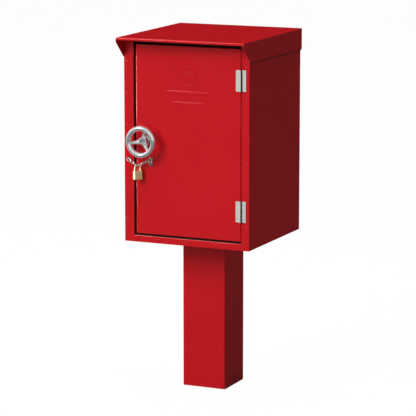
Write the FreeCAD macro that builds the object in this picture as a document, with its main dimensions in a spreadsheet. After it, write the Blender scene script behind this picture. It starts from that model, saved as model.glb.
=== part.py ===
"""A parcel box on a square post, as a parametric document in millimetres.

The origin is the middle of the post's foot, on the ground. +X is to the right seen from the
front, +Y is to the back and +Z is up. The door faces -Y, hangs on the right and is shown shut.
"""
import FreeCAD, Part
import math
import os
import re
import Sketcher
from FreeCAD import Placement, Rotation, Vector

# Driving dimensions, in millimetres and degrees. Heights with no other word in their name count
# from the cabinet's underside.
SIZES = {
    # Cabinet, folded from one gauge of sheet
    "sheet": 1.6,
    "cabinet_width": 430,
    "cabinet_depth": 415,
    "shell_height": 648,
    "shell_bend": 4,
    "shell_flange": 18,
    "floor_flange": 16,
    # Hood
    "skirt_overlap": 58,
    "roof_clear": 6,
    "roof_rise": 4.5,
    "hood_overhang": 53,
    "cheek_front": 14,
    "roof_lip": 7.5,
    "hood_bend": 2.5,
    "cheek_corner": 5,
    "gasket": 1,
    "gasket_height": 12,
    "gasket_show": 2.5,
    # Front frame round the doorway
    "latch_stile": 32.5,
    "hinge_stile": 27.5,
    "bottom_rail": 21.5,
    "top_rail": 9,
    "rebate": 22,
    "stop_lip": 12,
    "frame_bend": 2,
    "seal_set_back": 2.2,
    "seal_wall": 1.2,
    "seal_lip": 10,
    "seal_clear": 0.4,
    # Door
    "latch_gap": 8.5,
    "hinge_gap": 1.2,
    "sill_gap": 6.5,
    "head_gap": 8.5,
    "door_depth": 18,
    "door_lip": 14,
    "door_bend": 2.5,
    # Post and the flange that carries the cabinet
    "post_height": 490,
    "post_width": 150,
    "post_wall": 3.2,
    "post_corner": 6,
    "flange_ledge": 30,
    "flange_plate": 6,
    "flange_corner": 10,
    # Flange bolts
    "bolt_radius": 5,
    "hole_play": 0.5,
    "bolt_flats": 17,
    "bolt_head": 6.4,
    "bolt_end": 4,
    "washer_radius": 10,
    "washer": 2,
    "nut": 8,
    "thread_play": 0.05,
    # Rivets
    "rivet_radius": 3.6,
    "rivet_rise": 2,
    "rivet_pitch": 100,
    "stile_rivet_inset": 10,
    "stile_rivet_height": 75,
    "rail_rivet_height": 11,
    "side_rivet_inset": 22,
    "side_rivet_height": 198,
    "side_rivet_pitch": 290,
    # Hinges
    "hinge_height": 66,
    "upper_hinge": 499.5,
    "lower_hinge": 90,
    "leaf": 1.6,
    "leaf_width": 17,
    "leaf_relief": 0.5,
    "knuckle_radius": 3.6,
    "knuckle_play": 0.3,
    "pin_radius": 1.75,
    "pin_play": 0.05,
    "pin_head_radius": 2.8,
    "pin_head": 1.2,
    "screw_radius": 3.1,
    "screw_core": 1.6,
    "screw_play": 0.05,
    "screw_spacing": 22,
    "screw_inset": 6.5,
    # Hand wheel and latch, with depths measured from the door's face
    "wheel_inset": 32,
    "wheel_height": 327,
    "wheel_radius": 51,
    "rim_radius": 8.3,
    "rim_stand_off": 34,
    "hub_radius": 13,
    "hub_face": 24,
    "hub_back": 4,
    "hub_web": 3,
    "hub_recess": 6,
    "hub_recess_radius": 6.5,
    "spoke_width": 10,
    "spoke_root_width": 17,
    "spoke_thickness": 7,
    "spoke_angle": 70,
    "wheel_screw_radius": 2.5,
    "wheel_screw_head_radius": 4.8,
    "wheel_screw_head": 5,
    "wheel_screw_socket": 2.5,
    "wheel_screw_length": 12,
    "spindle_radius": 6,
    "spindle_play": 0.05,
    "spindle_collar_radius": 9,
    "spindle_collar": 4,
    "collar_play": 0.3,
    "spindle_square": 8,
    "square_play": 0.05,
    "bush_radius": 9,
    "bush_play": 0.05,
    "bush_flange_radius": 16,
    "bush_flange": 3,
    "bush_depth": 14,
    "bush_nut_flats": 26,
    "bush_nut": 5,
    "cam_clear": 1,
    "cam_plate": 4,
    "cam_reach": 36,
    "cam_hub_radius": 11,
    "cam_width": 18,
    "cam_tip_width": 14,
    "cam_corner": 5,
    "cam_washer_radius": 8,
    "cam_washer": 1.5,
    "cam_nut_flats": 13,
    "cam_nut": 6,
    "cam_stub_radius": 4,
    "cam_stub_end": 1.5,
    # Chain, its stud on the stile and its eye on the door
    "link_wire": 1.3,
    "link_length": 15.3,
    "link_width": 5.5,
    "link_slack": 0.4,
    "chain_drop": 26,
    "stud_lean": 16,
    "eye_lean": 15,
    "stud_radius": 1.5,
    "stud_head_radius": 1.9,
    "stud_head": 1.5,
    "stud_tip": 2.4,
    "stud_base_radius": 5,
    "stud_base": 1.5,
    "eye_wire": 1.8,
    "eye_width": 8,
    "eye_room": 3,
    "eye_plate": 2,
    "eye_plate_width": 14,
    "eye_plate_height": 28,
    "eye_plate_corner": 5,
    # Padlock, hung with its bow across the links
    "padlock_inset": 13.5,
    "padlock_stand_off": 18,
    "padlock_turn": 52,
    "case_top_height": 231.5,
    "case_width": 27,
    "case_height": 27,
    "case_thickness": 14.5,
    "case_corner": 2.5,
    "case_edge": 1.2,
    "bow_wire": 2.25,
    "bow_radius": 9.8,
    "bow_straight": 9,
    "bow_play": 0.15,
    "heel_depth": 16,
    "toe_depth": 6.5,
    "bore_room": 1,
    "link_stagger": 5,
    "plug_radius": 5,
    "plug_depth": 10,
    "plug_play": 0.05,
    "keyway_width": 1.4,
    "keyway_height": 6,
    "keyway_depth": 7,
}

# Counts of what repeats
STILE_RIVETS = 6
RAIL_RIVETS = 3
SIDE_RIVETS = 2
KNUCKLES = 5
LEAF_SCREWS = 3
SPOKES = 3

# Places worked out from the driving dimensions.
PLACES = {
    "left_side": "-cabinet_width / 2",
    "right_side": "cabinet_width / 2",
    "front_face": "-cabinet_depth / 2",
    "back_face": "cabinet_depth / 2",
    "shell_top": "post_height + shell_height",
    "skirt_edge": "shell_top - skirt_overlap",
    "hood_front_top": "shell_top + roof_clear",
    "hood_back_top": "hood_front_top + roof_rise",
    "hood_front": "front_face - hood_overhang",
    "hood_back": "back_face + gasket",
    "hood_inside": "cabinet_width + 2 * gasket",
    "flange_half": "post_width / 2 + flange_ledge",
    "bolt_reach": "post_width / 2 + flange_ledge / 2",
    "opening_left": "left_side + latch_stile",
    "opening_right": "right_side - hinge_stile",
    "opening_bottom": "post_height + bottom_rail",
    "opening_top": "shell_top - top_rail",
    "door_left": "opening_left + latch_gap",
    "door_right": "opening_right - hinge_gap",
    "door_bottom": "opening_bottom + sill_gap",
    "door_top": "opening_top - head_gap",
    "hinge_across": "opening_right - hinge_gap / 2",
    "hinge_out": "front_face - knuckle_radius - knuckle_play",
    "wheel_across": "door_left + wheel_inset",
    "wheel_up": "post_height + wheel_height",
    "rivet_sphere": "(rivet_radius ^ 2 + rivet_rise ^ 2) / (2 * rivet_rise)",
    "bore_radius": "spindle_radius + spindle_play",
    "spindle_front": "hub_face - hub_recess - hub_web",
    "cam_front": "rebate + cam_clear",
    "cam_back": "cam_front + cam_plate",
    "cam_stub_back": "cam_back + cam_washer + cam_nut + cam_stub_end",
    "link_arc": "link_width / 2 + link_wire",
    "link_arc_centre": "(link_length - link_width) / 2",
    "bow_across": "door_left + padlock_inset",
    "bow_out": "front_face - padlock_stand_off",
    "case_top": "post_height + case_top_height",
    "bow_top": "case_top + bow_straight + bow_radius",
    "eye_arc": "eye_width / 2 + eye_wire",
}

# Functions that an expression may use
MATHS = {"cos", "sin", "asin"}

# Two coordinates this close are the same place when an edge is picked.
SAME_PLACE = 1e-4

doc = FreeCAD.newDocument("ParcelBox")


def sized(text):
    """The expression with each name in it pointed at the sheet that holds it."""

    def sheet_name(word):
        name = word.group()
        if name in MATHS:
            return name
        return ("Sizes." if name in SIZES else "Places.") + name

    return re.sub(r"[a-z]\w*", sheet_name, text)


def fill_sheet(name, cells):
    """A sheet with one aliased cell a line."""
    sheet = doc.addObject("Spreadsheet::Sheet", name)
    for row, (alias, content) in enumerate(cells.items(), 1):
        sheet.set(f"A{row}", alias)
        sheet.setAlias(f"B{row}", alias)
        sheet.set(f"B{row}", content)
    doc.recompute()
    return sheet


sizes = fill_sheet("Sizes", {name: str(value) for name, value in SIZES.items()})
places = fill_sheet("Places", {name: "=" + sized(text) for name, text in PLACES.items()})


def number(name):
    """The present value of a size or a place."""
    return float((sizes if name in SIZES else places).get(name))


def bind(item, bound):
    """Ties properties of an object to expressions on the sheets."""
    for name, text in bound.items():
        item.setExpression(name, sized(text))
    return item


def put(item, across="0", out="0", up="0", turn=None):
    """Places an object at expressions along X, Y and Z, turned by a fixed rotation."""
    if turn is not None:
        item.Placement = Placement(Vector(), turn)
    return bind(item, {"Placement.Base.x": across, "Placement.Base.y": out, "Placement.Base.z": up})


TO_FRONT = Rotation(Vector(1, 0, 0), 90)
TO_RIGHT = Rotation(Vector(0, 1, 0), 90)
TO_LEFT = Rotation(Vector(0, 1, 0), -90)


# Helpers for sketches and features

def make_body(name):
    body = doc.addObject("PartDesign::Body", name)
    body.Label = name
    return body


def origin_feature(body, role):
    return next(item for item in body.Origin.OriginFeatures if item.Role == role)


def sketch_on(body, role, name, offset="0"):
    """A sketch on one of the body's origin planes, moved along that plane's normal."""
    sketch = body.newObject("Sketcher::SketchObject", f"{body.Name}_{name}")
    sketch.AttachmentSupport = [(origin_feature(body, role), "")]
    sketch.MapMode = "FlatFace"
    return bind(sketch, {"AttachmentOffset.Base.z": offset})


def hold_point(sketch, geometry, point, across, up, start):
    """Holds a point of a sketch at expressions along both of the sketch's axes."""
    for kind, text, value in (("DistanceX", across, start.x), ("DistanceY", up, start.y)):
        index = sketch.addConstraint(Sketcher.Constraint(kind, -1, 1, geometry, point, value))
        bind(sketch, {f"Constraints[{index}]": text})


def add_outline(sketch, corners):
    """A closed straight-sided outline with each corner held at its place."""
    first = sketch.GeometryCount
    count = len(corners)
    start = [Rotation(Vector(0, 0, 1), 360 * turn / count).multVec(Vector(1, 0, 0)) for turn in range(count)]
    for corner in range(count):
        sketch.addGeometry(Part.LineSegment(start[corner], start[(corner + 1) % count]))
    for corner in range(count):
        following = first + (corner + 1) % count
        sketch.addConstraint(Sketcher.Constraint("Coincident", first + corner, 2, following, 1))
    for corner, (across, up) in enumerate(corners):
        hold_point(sketch, first + corner, 1, across, up, start[corner])


def add_rectangle(sketch, left, bottom, right, top):
    add_outline(sketch, [(left, bottom), (right, bottom), (right, top), (left, top)])


def add_square(sketch, half):
    add_rectangle(sketch, f"-({half})", f"-({half})", half, half)


def add_hexagon(sketch, half_flats):
    reach = f"{half_flats} / cos(30)"
    turns = range(0, 360, 60)
    add_outline(sketch, [(f"{reach} * cos({angle})", f"{reach} * sin({angle})") for angle in turns])


def add_circle(sketch, radius, across="0", up="0"):
    index = sketch.addGeometry(Part.Circle(Vector(1, 1, 0), Vector(0, 0, 1), 1))
    hold_point(sketch, index, 3, across, up, Vector(1, 1, 0))
    held = sketch.addConstraint(Sketcher.Constraint("Radius", index, 1))
    bind(sketch, {f"Constraints[{held}]": radius})


def add_feature(body, kind, name, profile, length, reverse=False, symmetric=False):
    """A pad or pocket of a sketch."""
    feature = body.newObject(f"PartDesign::{kind}", f"{body.Name}_{name}")
    feature.Profile = profile
    feature.Reversed = reverse
    if symmetric:
        feature.SideType = "Symmetric"
    return bind(feature, {"Length": length})


def pad(body, name, profile, length, **ways):
    return add_feature(body, "Pad", name, profile, length, **ways)


def pocket(body, name, profile, length, **ways):
    """A pocket that is sure to have cut something."""
    doc.recompute()
    before = body.Shape.Volume
    feature = add_feature(body, "Pocket", name, profile, length, **ways)
    doc.recompute()
    if body.Shape.Volume >= before:
        raise ValueError(f"{feature.Name} cuts nothing")
    return feature


def revolve(body, name, profile, axis):
    feature = body.newObject("PartDesign::Revolution", f"{body.Name}_{name}")
    feature.Profile = profile
    feature.ReferenceAxis = (origin_feature(body, axis), [""])
    feature.Angle = 360
    return feature


def round_edges(body, name, radius, chosen):
    """A fillet on the edges of the body's last feature that pass a test of their own box."""
    doc.recompute()
    base = body.Tip
    names = [f"Edge{index}" for index, edge in enumerate(base.Shape.Edges, 1) if chosen(edge.BoundBox)]
    if not names:
        raise ValueError(f"{body.Name} has no edge for {name}")
    fillet = body.newObject("PartDesign::Fillet", f"{body.Name}_{name}")
    fillet.Base = (base, names)
    return bind(fillet, {"Radius": radius})


def near(value, goal):
    return abs(value - goal) < SAME_PLACE


def square_corners(half):
    return [(across, out) for across in (-half, half) for out in (-half, half)]


def upright_at(spots):
    """A test for upright edges that stand over one of the given spots."""

    def test(box):
        if not (near(box.XMin, box.XMax) and near(box.YMin, box.YMax)):
            return False
        return any(near(box.XMin, across) and near(box.YMin, out) for across, out in spots)

    return test


# Helpers for primitives

def cylinder(name, radius, height, across="0", out="0", up="0", turn=None):
    item = doc.addObject("Part::Cylinder", name)
    bind(item, {"Radius": radius, "Height": height})
    return put(item, across, out, up, turn)


def cone(name, start_radius, end_radius, height, across="0", out="0", up="0", turn=None):
    item = doc.addObject("Part::Cone", name)
    bind(item, {"Radius1": start_radius, "Radius2": end_radius, "Height": height})
    return put(item, across, out, up, turn)


def hexagon(name, flats, height, across="0", out="0", up="0", turn=None):
    item = doc.addObject("Part::Prism", name)
    item.Polygon = 6
    bind(item, {"Circumradius": f"({flats}) / 2 / cos(30)", "Height": height})
    return put(item, across, out, up, turn)


def box(name, width, depth, height, across, out, up):
    item = doc.addObject("Part::Box", name)
    bind(item, {"Length": width, "Width": depth, "Height": height})
    return put(item, across, out, up)


def half_ring(name, ring_radius, wire_radius, turn, across="0", out="0", up="0"):
    """Half a torus, from +X round by +Y to -X before its turn."""
    item = doc.addObject("Part::Torus", name)
    item.Angle3 = 180
    bind(item, {"Radius1": ring_radius, "Radius2": wire_radius})
    return put(item, across, out, up, turn)


def fuse(name, items):
    item = doc.addObject("Part::MultiFuse", name)
    item.Label = name
    item.Shapes = items
    return item


def cut(name, base, tool):
    item = doc.addObject("Part::Cut", name)
    item.Label = name
    item.Base = base
    item.Tool = tool
    return item


def group(name, items):
    """Like pieces that share a node and stay separate solids."""
    item = doc.addObject("Part::Compound", name)
    item.Label = name
    item.Links = items
    return item


# Post and its joint with the cabinet

def make_post():
    body = make_body("post")
    section = sketch_on(body, "XY_Plane", "section")
    add_square(section, "post_width / 2")
    add_square(section, "post_width / 2 - post_wall")
    pad(body, "tube", section, "post_height - flange_plate")
    outer = number("post_width") / 2
    inner = outer - number("post_wall")
    round_edges(body, "outer_corners", "post_corner", upright_at(square_corners(outer)))
    if number("post_corner") > number("post_wall"):
        round_edges(body, "inner_corners", "post_corner - post_wall", upright_at(square_corners(inner)))
    return body


def make_post_flange():
    body = make_body("post_flange")
    outline = sketch_on(body, "XY_Plane", "outline", "post_height - flange_plate")
    add_square(outline, "flange_half")
    for across, out in bolt_spots():
        add_circle(outline, "bolt_radius + hole_play", across, out)
    pad(body, "plate", outline, "flange_plate")
    round_edges(body, "corners", "flange_corner", upright_at(square_corners(number("flange_half"))))
    return body


def bolt_spots():
    return [(f"{x}bolt_reach", f"{y}bolt_reach") for x in ("-", "") for y in ("-", "")]


def make_flange_bolts():
    """Hex bolts put in from inside the cabinet, with a washer under each head and a nut below."""
    seat = "post_height + sheet + washer"
    tip = "post_height - flange_plate - nut - bolt_end"
    bolts, washers, nuts = [], [], []
    for index, (across, out) in enumerate(bolt_spots(), 1):
        head = hexagon(f"bolt_head_{index}", "bolt_flats", "bolt_head", across, out, seat)
        shank = cylinder(f"bolt_shank_{index}", "bolt_radius", f"{seat} - ({tip})", across, out, tip)
        bolts.append(fuse(f"bolt_{index}", [head, shank]))
        disc = cylinder(f"washer_disc_{index}", "washer_radius", "washer", across, out, "post_height + sheet")
        hole = cylinder(f"washer_hole_{index}", "bolt_radius + hole_play", "washer", across, out,
                        "post_height + sheet")
        washers.append(cut(f"washer_{index}", disc, hole))
        under = "post_height - flange_plate - nut"
        block = hexagon(f"nut_block_{index}", "bolt_flats", "nut", across, out, under)
        thread = cylinder(f"nut_thread_{index}", "bolt_radius + thread_play", "nut", across, out, under)
        nuts.append(cut(f"nut_{index}", block, thread))
    return [group("flange_bolts", bolts), group("flange_washers", washers), group("flange_nuts", nuts)]


# Cabinet

def make_floor_pan():
    """The floor, a tray with its edges turned up inside the shell, and holes for the flange bolts."""
    body = make_body("floor_pan")
    sides = ("left_side + sheet", "front_face + 2 * sheet", "right_side - sheet", "back_face - sheet")
    outline = sketch_on(body, "XY_Plane", "outline", "post_height")
    add_rectangle(outline, *sides)
    for across, out in bolt_spots():
        add_circle(outline, "bolt_radius + hole_play", across, out)
    pad(body, "tray", outline, "floor_flange")
    if number("shell_bend") > number("sheet"):
        inner = number("right_side") - number("sheet")
        back = number("back_face") - number("sheet")
        round_edges(body, "back_corners", "shell_bend - sheet", upright_at([(-inner, back), (inner, back)]))
    hollow = sketch_on(body, "XY_Plane", "hollow", "post_height + floor_flange")
    add_rectangle(hollow, *[f"{side} {sign} sheet" for side, sign in zip(sides, "++--")])
    pocket(body, "inside", hollow, "floor_flange - sheet")
    return body


def make_cabinet_shell():
    """Both sides and the back, one sheet folded round, with flanges turned in behind the frame."""
    body = make_body("cabinet_shell")
    section = sketch_on(body, "XY_Plane", "section", "post_height")
    front = "front_face + sheet"
    add_outline(section, [
        ("left_side + shell_flange", front),
        ("left_side", front),
        ("left_side", "back_face"),
        ("right_side", "back_face"),
        ("right_side", front),
        ("right_side - shell_flange", front),
        ("right_side - shell_flange", f"{front} + sheet"),
        ("right_side - sheet", f"{front} + sheet"),
        ("right_side - sheet", "back_face - sheet"),
        ("left_side + sheet", "back_face - sheet"),
        ("left_side + sheet", f"{front} + sheet"),
        ("left_side + shell_flange", f"{front} + sheet"),
    ])
    pad(body, "walls", section, "shell_height")
    side, back, sheet = number("right_side"), number("back_face"), number("sheet")
    round_edges(body, "outer_bends", "shell_bend", upright_at([(-side, back), (side, back)]))
    if number("shell_bend") > sheet:
        inner = side - sheet
        round_edges(body, "inner_bends", "shell_bend - sheet",
                    upright_at([(-inner, back - sheet), (inner, back - sheet)]))
    return body


def make_front_frame():
    """The face round the doorway, folded back as a rebate with a lip that the latch turns behind."""
    body = make_body("front_frame")
    opening = ("opening_left", "opening_bottom", "opening_right", "opening_top")
    face = sketch_on(body, "XZ_Plane", "face", "-front_face")
    add_rectangle(face, "left_side", "post_height", "right_side", "shell_top")
    add_rectangle(face, *opening)
    pad(body, "sheet", face, "sheet", reverse=True)
    wall = sketch_on(body, "XZ_Plane", "rebate", "-front_face")
    add_rectangle(wall, *[f"{edge} {sign} sheet" for edge, sign in zip(opening, "--++")])
    add_rectangle(wall, *opening)
    pad(body, "rebate_wall", wall, "rebate", reverse=True)
    lip = sketch_on(body, "XZ_Plane", "lip", "-(front_face + rebate - sheet)")
    add_rectangle(lip, *opening)
    add_rectangle(lip, *[f"{edge} {sign} stop_lip" for edge, sign in zip(opening, "++--")])
    pad(body, "stop_lip", lip, "sheet", reverse=True)
    front = number("front_face")
    left, right = number("opening_left"), number("opening_right")
    bottom, top = number("opening_bottom"), number("opening_top")

    def doorway_edge(bounds):
        if not (near(bounds.YMin, front) and near(bounds.YMax, front)):
            return False
        upright = near(bounds.XMin, bounds.XMax) and (near(bounds.XMin, left) or near(bounds.XMin, right))
        level = near(bounds.ZMin, bounds.ZMax) and (near(bounds.ZMin, bottom) or near(bounds.ZMin, top))
        return upright or level

    round_edges(body, "fold", "frame_bend", doorway_edge)
    return body


def make_roof_hood():
    """The hood: a roof that rises a little to the back, with a front lip, cheeks and a back skirt."""
    body = make_body("roof_hood")
    back = "hood_back + sheet"
    profile = sketch_on(body, "YZ_Plane", "profile")
    add_outline(profile, [
        ("hood_front", "hood_front_top"),
        ("hood_front", "hood_front_top - cheek_front"),
        ("front_face", "skirt_edge"),
        (back, "skirt_edge"),
        (back, "hood_back_top"),
    ])
    pad(body, "block", profile, "hood_inside + 2 * sheet", symmetric=True)
    inside = sketch_on(body, "YZ_Plane", "inside")
    add_outline(inside, [
        ("hood_front + sheet", "hood_front_top - sheet"),
        ("hood_front + sheet", "hood_front_top - roof_lip"),
        ("hood_front - sheet", "hood_front_top - roof_lip"),
        ("hood_front - sheet", "skirt_edge - sheet"),
        ("hood_back", "skirt_edge - sheet"),
        ("hood_back", "hood_back_top - sheet"),
    ])
    pocket(body, "hollow", inside, "hood_inside", symmetric=True)
    front, low = number("hood_front"), number("hood_front_top") - number("cheek_front")

    def cheek_point(bounds):
        at_point = near(bounds.YMin, front) and near(bounds.YMax, front)
        return at_point and near(bounds.ZMin, low) and near(bounds.ZMax, low)

    round_edges(body, "cheek_points", "cheek_corner", cheek_point)
    outer = number("hood_inside") / 2 + number("sheet")
    roof, rear = number("hood_front_top"), number("hood_back") + number("sheet")

    def roof_edge(bounds):
        if bounds.ZMin < roof - SAME_PLACE:
            return False
        along = near(bounds.XMin, bounds.XMax) and near(abs(bounds.XMin), outer)
        crosswise = near(bounds.YMin, bounds.YMax) and (near(bounds.YMin, front) or near(bounds.YMin, rear))
        return along or crosswise

    round_edges(body, "roof_edges", "hood_bend", roof_edge)
    return body


def make_hood_gasket():
    """A rubber strip between the shell and the hood's skirt, which shows below the skirt's edge."""
    body = make_body("hood_gasket")
    section = sketch_on(body, "XY_Plane", "section", "skirt_edge - gasket_show")
    half = "hood_inside / 2"
    add_outline(section, [
        (f"-{half}", "front_face"),
        (f"-{half}", "hood_back"),
        (half, "hood_back"),
        (half, "front_face"),
        ("right_side", "front_face"),
        ("right_side", "back_face"),
        ("left_side", "back_face"),
        ("left_side", "front_face"),
    ])
    pad(body, "strip", section, "gasket_height")
    side, back = number("right_side"), number("back_face")
    round_edges(body, "inner_bends", "shell_bend", upright_at([(-side, back), (side, back)]))
    return body


def make_door_seal():
    """A rubber lining of the rebate, left off the hinge side, with a flat that the shut door comes up to."""
    body = make_body("door_seal")
    opening = ("opening_left", "opening_bottom", "opening_right", "opening_top")
    lip_front = "front_face + rebate - sheet"
    flat_front = "front_face + door_depth + seal_clear"
    wall = sketch_on(body, "XZ_Plane", "wall", "-(front_face + seal_set_back)")
    add_outline(wall, [
        ("opening_right", "opening_top"),
        ("opening_left", "opening_top"),
        ("opening_left", "opening_bottom"),
        ("opening_right", "opening_bottom"),
        ("opening_right", "opening_bottom + seal_wall"),
        ("opening_left + seal_wall", "opening_bottom + seal_wall"),
        ("opening_left + seal_wall", "opening_top - seal_wall"),
        ("opening_right", "opening_top - seal_wall"),
    ])
    pad(body, "lining", wall, "rebate - sheet - seal_set_back", reverse=True)
    flat = sketch_on(body, "XZ_Plane", "flat", f"-({flat_front})")
    add_rectangle(flat, *opening)
    add_rectangle(flat, *[f"{edge} {sign} seal_lip" for edge, sign in zip(opening, "++--")])
    pad(body, "rest", flat, f"{lip_front} - ({flat_front})", reverse=True)
    return body


def make_rivet(name, across, out, up, turn, direction):
    """A domed rivet head whose flat side lies on the sheet at the given place."""
    dome = doc.addObject("Part::Sphere", name)
    sunk = "rivet_sphere - rivet_rise"
    bind(dome, {"Radius": "rivet_sphere", "Angle1": f"asin(({sunk}) / rivet_sphere)"})
    inwards = {"front": ("0", sunk), "left": (sunk, "0"), "right": (f"-({sunk})", "0")}[direction]
    return put(dome, f"{across} + {inwards[0]}", f"{out} + {inwards[1]}", up, turn)


def make_rivets():
    """Rows of rivets down both stiles, along the bottom rail and down each side."""
    nodes = []
    for side, sign, turn in (("left", "+", TO_LEFT), ("right", "-", TO_RIGHT)):
        inset = f"{side}_side {sign} stile_rivet_inset"
        stile = [make_rivet(f"{side}_stile_rivet_{index}", inset, "front_face",
                            f"post_height + stile_rivet_height + {index} * rivet_pitch", TO_FRONT, "front")
                 for index in range(STILE_RIVETS)]
        nodes.append(group(f"{side}_stile_rivets", stile))
        flank = [make_rivet(f"{side}_side_rivet_{index}", f"{side}_side", "front_face + side_rivet_inset",
                            f"post_height + side_rivet_height + {index} * side_rivet_pitch", turn, side)
                 for index in range(SIDE_RIVETS)]
        nodes.append(group(f"{side}_side_rivets", flank))
    middle = (RAIL_RIVETS - 1) / 2
    rail = [make_rivet(f"rail_rivet_{index}", f"{index - middle} * rivet_pitch", "front_face",
                       "post_height + rail_rivet_height", TO_FRONT, "front")
            for index in range(RAIL_RIVETS)]
    nodes.append(group("rail_rivets", rail))
    return nodes


# Door

def make_door_panel():
    """The door, a pan folded on all four sides with its edges turned in again behind."""
    body = make_body("door_panel")
    edges = ("door_left", "door_bottom", "door_right", "door_top")
    outline = sketch_on(body, "XZ_Plane", "outline", "-front_face")
    add_rectangle(outline, *edges)
    add_circle(outline, "bush_radius + bush_play", "wheel_across", "wheel_up")
    pad(body, "pan", outline, "door_depth", reverse=True)
    inside = sketch_on(body, "XZ_Plane", "inside", "-(front_face + door_depth)")
    add_rectangle(inside, *[f"{edge} {sign} sheet" for edge, sign in zip(edges, "++--")])
    pocket(body, "hollow", inside, "door_depth - sheet", reverse=True)
    lip = sketch_on(body, "XZ_Plane", "lip", "-(front_face + door_depth - sheet)")
    add_rectangle(lip, *edges)
    add_rectangle(lip, *[f"{edge} {sign} door_lip" for edge, sign in zip(edges, "++--")])
    pad(body, "lips", lip, "sheet", reverse=True)
    front = number("front_face")
    limits = [number(edge) for edge in edges]

    def face_edge(bounds):
        if not (near(bounds.YMin, front) and near(bounds.YMax, front)):
            return False
        return any(near(bounds.XMin, edge) and near(bounds.XMax, edge) for edge in limits[0::2]) or any(
            near(bounds.ZMin, edge) and near(bounds.ZMax, edge) for edge in limits[1::2])

    round_edges(body, "fold", "door_bend", face_edge)
    return body


def leaf_screw_spots(base, sign):
    """Where the screws of one hinge leaf go, as places along X and Z."""
    middle = (LEAF_SCREWS - 1) / 2
    across = f"hinge_across {sign} (leaf_width - screw_inset)"
    centre = f"{base} + hinge_height / 2"
    return [(across, f"{centre} + {index - middle} * screw_spacing") for index in range(LEAF_SCREWS)]


def make_hinge_leaf(name, base, sign, first_knuckle):
    """One leaf of a hinge: a plate with every second knuckle, bored for the pin, and countersunk holes."""
    knuckle = f"hinge_height / {KNUCKLES}"
    inner = "knuckle_radius + leaf_relief"
    plate_left = f"hinge_across + {inner}" if sign == "+" else "hinge_across - leaf_width"
    pieces = [box(f"{name}_plate", f"leaf_width - ({inner})", "leaf", "hinge_height", plate_left,
                  "front_face - leaf", base)]
    neck_left = "hinge_across" if sign == "+" else f"hinge_across - ({inner})"
    for index in range(first_knuckle, KNUCKLES, 2):
        foot = f"{base} + {index} * ({knuckle}) + knuckle_play / 2"
        tall = f"{knuckle} - knuckle_play"
        pieces.append(cylinder(f"{name}_knuckle_{index}", "knuckle_radius", tall, "hinge_across", "hinge_out",
                               foot))
        pieces.append(box(f"{name}_neck_{index}", inner, "leaf - knuckle_play", tall, neck_left,
                          "front_face - leaf", foot))
    blank = fuse(f"{name}_blank", pieces)
    tools = [cylinder(f"{name}_bore", "pin_radius + pin_play", "hinge_height", "hinge_across", "hinge_out",
                      base)]
    for index, (across, up) in enumerate(leaf_screw_spots(base, sign)):
        tools.append(cone(f"{name}_sink_{index}", "screw_core", "screw_radius", "leaf", across, "front_face",
                          up, TO_FRONT))
    return cut(name, blank, fuse(f"{name}_holes", tools))


def make_hinges():
    nodes, frame_screws, door_screws = [], [], []
    for place in ("upper", "lower"):
        base = f"post_height + {place}_hinge"
        nodes.append(make_hinge_leaf(f"{place}_frame_leaf", base, "+", 0))
        nodes.append(make_hinge_leaf(f"{place}_door_leaf", base, "-", 1))
        rod = cylinder(f"{place}_pin_rod", "pin_radius", "hinge_height", "hinge_across", "hinge_out", base)
        top = cylinder(f"{place}_pin_top", "pin_head_radius", "pin_head", "hinge_across", "hinge_out",
                       f"{base} + hinge_height")
        foot = cylinder(f"{place}_pin_foot", "pin_head_radius", "pin_head", "hinge_across", "hinge_out",
                        f"{base} - pin_head")
        nodes.append(fuse(f"{place}_hinge_pin", [rod, top, foot]))
        for screws, sign, leaf in ((frame_screws, "+", "frame"), (door_screws, "-", "door")):
            for index, (across, up) in enumerate(leaf_screw_spots(base, sign)):
                screws.append(cone(f"{place}_{leaf}_screw_{index}", "screw_core - screw_play",
                                   "screw_radius - screw_play", "leaf", across, "front_face", up, TO_FRONT))
    return nodes + [group("frame_leaf_screws", frame_screws), group("door_leaf_screws", door_screws)]


# Hand wheel and latch. Each of these bodies is drawn along its own Z, which points to the front.

def to_wheel(body, angle=0):
    """Puts a body on the wheel's axis, turned about it by an angle."""
    turn = TO_FRONT.multiply(Rotation(Vector(0, 0, 1), angle))
    return put(body, "wheel_across", "front_face", "wheel_up", turn)


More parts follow.
